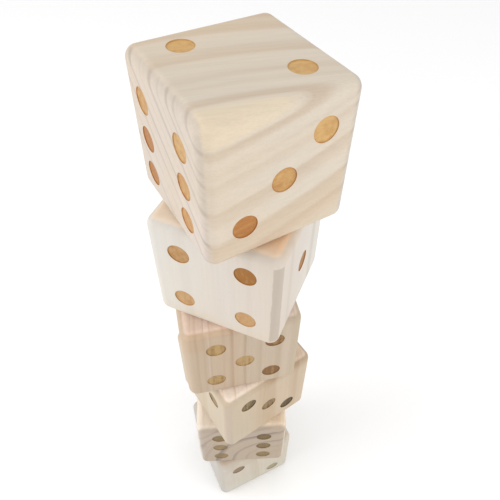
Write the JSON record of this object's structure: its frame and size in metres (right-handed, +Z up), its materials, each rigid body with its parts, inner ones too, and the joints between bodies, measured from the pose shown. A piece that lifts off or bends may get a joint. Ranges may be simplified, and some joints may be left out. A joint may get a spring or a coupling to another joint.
{
  "type": "giant yard dice",
  "caption": "Large solid pine playing dice with rounded edges and shallow stained pips, stacked in a slightly twisted tower for lawn games.",
  "frame": {"origin": "middle of the bottom die's underside, where the tower stands", "axes": "+Z up the tower; +X to the right and -Y towards the viewer when the bottom die's front corner is nearest"},
  "size_m": [0.1206, 0.1291, 0.5349],
  "materials": {
    "bottom_die_pine": "sanded, unvarnished",
    "second_die_pine": "sanded, unvarnished",
    "third_die_pine": "sanded, unvarnished",
    "fourth_die_pine": "sanded, unvarnished",
    "fifth_die_pine": "sanded, unvarnished",
    "top_die_pine": "sanded, unvarnished"
  },
  "bodies": {
    "bottom_die": {"bottom_die": "bottom_die_pine"},
    "second_die": {"second_die": "second_die_pine"},
    "third_die": {"third_die": "third_die_pine"},
    "fourth_die": {"fourth_die": "fourth_die_pine"},
    "fifth_die": {"fifth_die": "fifth_die_pine"},
    "top_die": {"top_die": "top_die_pine"}
  },
  "joints": [
    {"name": "second_die_turn", "type": "hinge", "parent": "bottom_die", "child": "second_die", "pos_m": [0.001, -0.0045, 0.0892], "axis": [0, 0, 1], "continuous": true},
    {"name": "third_die_turn", "type": "hinge", "parent": "second_die", "child": "third_die", "pos_m": [0.0035, -0.007, 0.1784], "axis": [0, 0, 1], "continuous": true},
    {"name": "fourth_die_turn", "type": "hinge", "parent": "third_die", "child": "fourth_die", "pos_m": [-0.004, -0.007, 0.2676], "axis": [0, 0, 1], "continuous": true},
    {"name": "fifth_die_turn", "type": "hinge", "parent": "fourth_die", "child": "fifth_die", "pos_m": [0.004, -0.009, 0.3568], "axis": [0, 0, 1], "continuous": true},
    {"name": "top_die_lift", "type": "slide", "parent": "fifth_die", "child": "top_die", "axis": [0, 0, 1], "range_m": [0, 0.12]}
  ]
}
